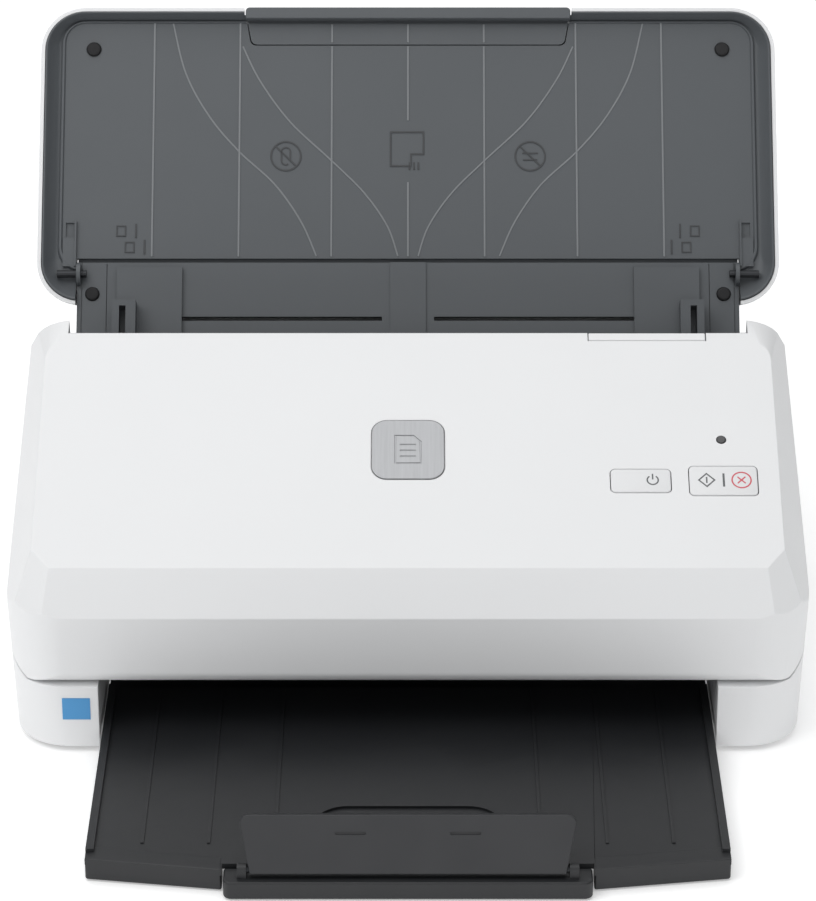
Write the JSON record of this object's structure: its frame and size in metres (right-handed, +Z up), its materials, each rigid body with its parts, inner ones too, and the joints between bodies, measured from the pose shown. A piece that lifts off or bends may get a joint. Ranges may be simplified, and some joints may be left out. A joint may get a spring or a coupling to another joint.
{
  "type": "sheet fed document scanner",
  "caption": "Compact sheet fed document scanner with a folding input tray, paper guides, hinged front cover, roller path, and a slide-out output tray with a stop.",
  "frame": {"origin": "on the desk plane, under the centre of the open scanner's box", "axes": "+Z up, -Y towards the user (the output tray side), +Y towards the rear, +X to the user's right"},
  "size_m": [0.3046, 0.3384, 0.2215],
  "materials": {
    "shell_white": "fine satin, light grey white",
    "tray_grey": "fine grain, dark grey",
    "tray_black": "fine grain, near black",
    "frame_grey": "matte",
    "rubber_black": "matte",
    "steel": "brushed",
    "gear_white": "natural acetal",
    "board_green": "solder mask",
    "scan_glass": "polished",
    "badge_silver": "satin silver",
    "lens_grey": "smoked lens"
  },
  "bodies": {
    "base": {"base_pan": "tray_black", "side_cover_left": "shell_white", "side_cover_right": "shell_white", "rear_cover": "shell_white", "side_plate_left": "frame_grey", "side_plate_right": "frame_grey", "input_chute": "tray_grey", "lower_paper_guide": "frame_grey", "lower_scan_module": "frame_grey", "lower_scan_glass": "scan_glass", "main_board": "board_green", "usb_port": "steel", "power_jack": "tray_black", "drive_motor": "steel", "front_foot_left": "rubber_black", "front_foot_right": "rubber_black", "rear_foot_left": "rubber_black", "rear_foot_right": "rubber_black", "chute_bumper_left": "rubber_black", "chute_bumper_right": "rubber_black", "tray_hinge_pin_left": "steel", "tray_hinge_pin_right": "steel", "cover_hinge_pin_left": "steel", "cover_hinge_pin_right": "steel"},
    "adf_cover": {"front_cover": "shell_white", "status_lens": "lens_grey", "badge_plate": "badge_silver", "control_board": "board_green", "upper_paper_guide": "frame_grey", "upper_scan_module": "frame_grey", "upper_scan_glass": "scan_glass"},
    "latch": {"cover_latch": "shell_white"},
    "power_key": {"power_button": "shell_white"},
    "scan_key": {"scan_button": "shell_white"},
    "separation": {"separation_roller": "rubber_black"},
    "pinch": {"pinch_roller": "rubber_black"},
    "exit_pinch": {"exit_pinch_roller": "rubber_black"},
    "input_tray": {"input_tray_cover": "shell_white", "input_tray_panel": "tray_grey", "tray_bumper_left": "rubber_black", "tray_bumper_right": "rubber_black"},
    "extension": {"tray_extension": "tray_grey"},
    "left_guide": {"guide_left": "tray_grey"},
    "right_guide": {"guide_right": "tray_grey"},
    "rack_pinion": {"guide_pinion": "gear_white"},
    "sensor": {"paper_sensor_flag": "frame_grey"},
    "feed_shaft": {"feed_roller": "rubber_black", "feed_gear": "gear_white"},
    "drive_shaft": {"drive_roller": "rubber_black", "drive_gear": "gear_white"},
    "exit_shaft": {"exit_roller": "rubber_black", "exit_gear": "gear_white"},
    "feed_idler": {"feed_idler_gear": "gear_white"},
    "drive_idler": {"drive_idler_gear": "gear_white"},
    "exit_idler": {"exit_idler_gear": "gear_white"},
    "motor_rotor": {"motor_pinion": "steel"},
    "out_tray": {"output_tray": "tray_black"},
    "out_extension": {"output_extension": "tray_black", "stop_hinge_pin": "steel"},
    "stop": {"paper_stop": "tray_black"}
  },
  "joints": [
    {"name": "adf_cover_hinge", "type": "hinge", "parent": "base", "child": "adf_cover", "pos_m": [0, -0.05916, 0.035], "axis": [1, 0, 0], "range_deg": [0, 74]},
    {"name": "input_tray_hinge", "type": "hinge", "parent": "base", "child": "input_tray", "pos_m": [0, 0.08941, 0.13163], "axis": [1, 0, 0], "range_deg": [0, 124]},
    {"name": "tray_extension_slide", "type": "slide", "parent": "input_tray", "child": "extension", "axis": [0, 0.6157, 0.788], "range_m": [0, 0.04]},
    {"name": "left_guide_slide", "type": "slide", "parent": "base", "child": "left_guide", "axis": [1, 0, 0], "range_m": [0, 0.07]},
    {"name": "right_guide_slide", "type": "slide", "parent": "base", "child": "right_guide", "axis": [-1, 0, 0], "range_m": [0, 0.07]},
    {"name": "rack_pinion_turn", "type": "hinge", "parent": "base", "child": "rack_pinion", "pos_m": [0, 0.0844, 0.1127], "axis": [0, -0.788, 0.6157], "range_deg": [-670, 0]},
    {"name": "latch_slide", "type": "slide", "parent": "adf_cover", "child": "latch", "axis": [0, 0.887, 0.4617], "range_m": [0, 0.003], "stiffness_N_per_m": 250},
    {"name": "power_key_press", "type": "slide", "parent": "adf_cover", "child": "power_key", "axis": [0, 0.4617, -0.887], "range_m": [0, 0.0012], "stiffness_N_per_m": 350},
    {"name": "scan_key_rock", "type": "hinge", "parent": "adf_cover", "child": "scan_key", "pos_m": [0.1204, -0.01794, 0.09129], "axis": [0, 0.887, 0.4617], "range_deg": [-3, 3], "stiffness_Nm_per_rad": 0.06},
    {"name": "separation_roller_turn", "type": "hinge", "parent": "adf_cover", "child": "separation", "pos_m": [0, 0.05247, 0.09831], "axis": [1, 0, 0], "continuous": true},
    {"name": "pinch_roller_turn", "type": "hinge", "parent": "adf_cover", "child": "pinch", "pos_m": [0, 0.03693, 0.07111], "axis": [1, 0, 0], "continuous": true},
    {"name": "exit_pinch_roller_turn", "type": "hinge", "parent": "adf_cover", "child": "exit_pinch", "pos_m": [0, 0.01045, 0.03723], "axis": [1, 0, 0], "continuous": true},
    {"name": "sensor_flag_swing", "type": "hinge", "parent": "base", "child": "sensor", "pos_m": [0.05, 0.05805, 0.07491], "axis": [1, 0, 0], "range_deg": [0, 25], "stiffness_Nm_per_rad": 0.004},
    {"name": "feed_shaft_turn", "type": "hinge", "parent": "base", "child": "feed_shaft", "pos_m": [0, 0.0702, 0.08446], "axis": [1, 0, 0], "continuous": true},
    {"name": "motor_turn", "type": "hinge", "parent": "base", "child": "motor_rotor", "pos_m": [0, 0.07484, 0.034], "axis": [1, 0, 0], "continuous": true},
    {"name": "feed_idler_turn", "type": "hinge", "parent": "base", "child": "feed_idler", "pos_m": [0, 0.07562, 0.05699], "axis": [1, 0, 0], "continuous": true},
    {"name": "drive_idler_turn", "type": "hinge", "parent": "base", "child": "drive_idler", "pos_m": [0, 0.05548, 0.07499], "axis": [1, 0, 0], "continuous": true},
    {"name": "drive_shaft_turn", "type": "hinge", "parent": "base", "child": "drive_shaft", "pos_m": [0, 0.04717, 0.06311], "axis": [1, 0, 0], "continuous": true},
    {"name": "exit_idler_turn", "type": "hinge", "parent": "base", "child": "exit_idler", "pos_m": [0, 0.03761, 0.04329], "axis": [1, 0, 0], "continuous": true},
    {"name": "exit_shaft_turn", "type": "hinge", "parent": "base", "child": "exit_shaft", "pos_m": [0, 0.0207, 0.02922], "axis": [1, 0, 0], "continuous": true},
    {"name": "output_tray_slide", "type": "slide", "parent": "base", "child": "out_tray", "axis": [0, 1, 0], "range_m": [0, 0.098]},
    {"name": "output_extension_slide", "type": "slide", "parent": "out_tray", "child": "out_extension", "axis": [0, -1, 0], "range_m": [0, 0.07]},
    {"name": "paper_stop_hinge", "type": "hinge", "parent": "out_extension", "child": "stop", "pos_m": [0, -0.16416, 0.01], "axis": [1, 0, 0], "range_deg": [-52, 0]}
  ],
  "couplings": [
    {"joint": "right_guide_slide", "follows": "left_guide_slide", "ratio": 1},
    {"joint": "rack_pinion_turn", "follows": "left_guide_slide", "rad_per_m": -166.67},
    {"joint": "motor_turn", "follows": "feed_shaft_turn", "ratio": 1.8333},
    {"joint": "feed_idler_turn", "follows": "feed_shaft_turn", "ratio": -0.64706},
    {"joint": "drive_idler_turn", "follows": "feed_shaft_turn", "ratio": -1.6923},
    {"joint": "drive_shaft_turn", "follows": "feed_shaft_turn", "ratio": 1.375},
    {"joint": "exit_idler_turn", "follows": "feed_shaft_turn", "ratio": -0.78571},
    {"joint": "exit_shaft_turn", "follows": "feed_shaft_turn", "ratio": 1.375}
  ]
}
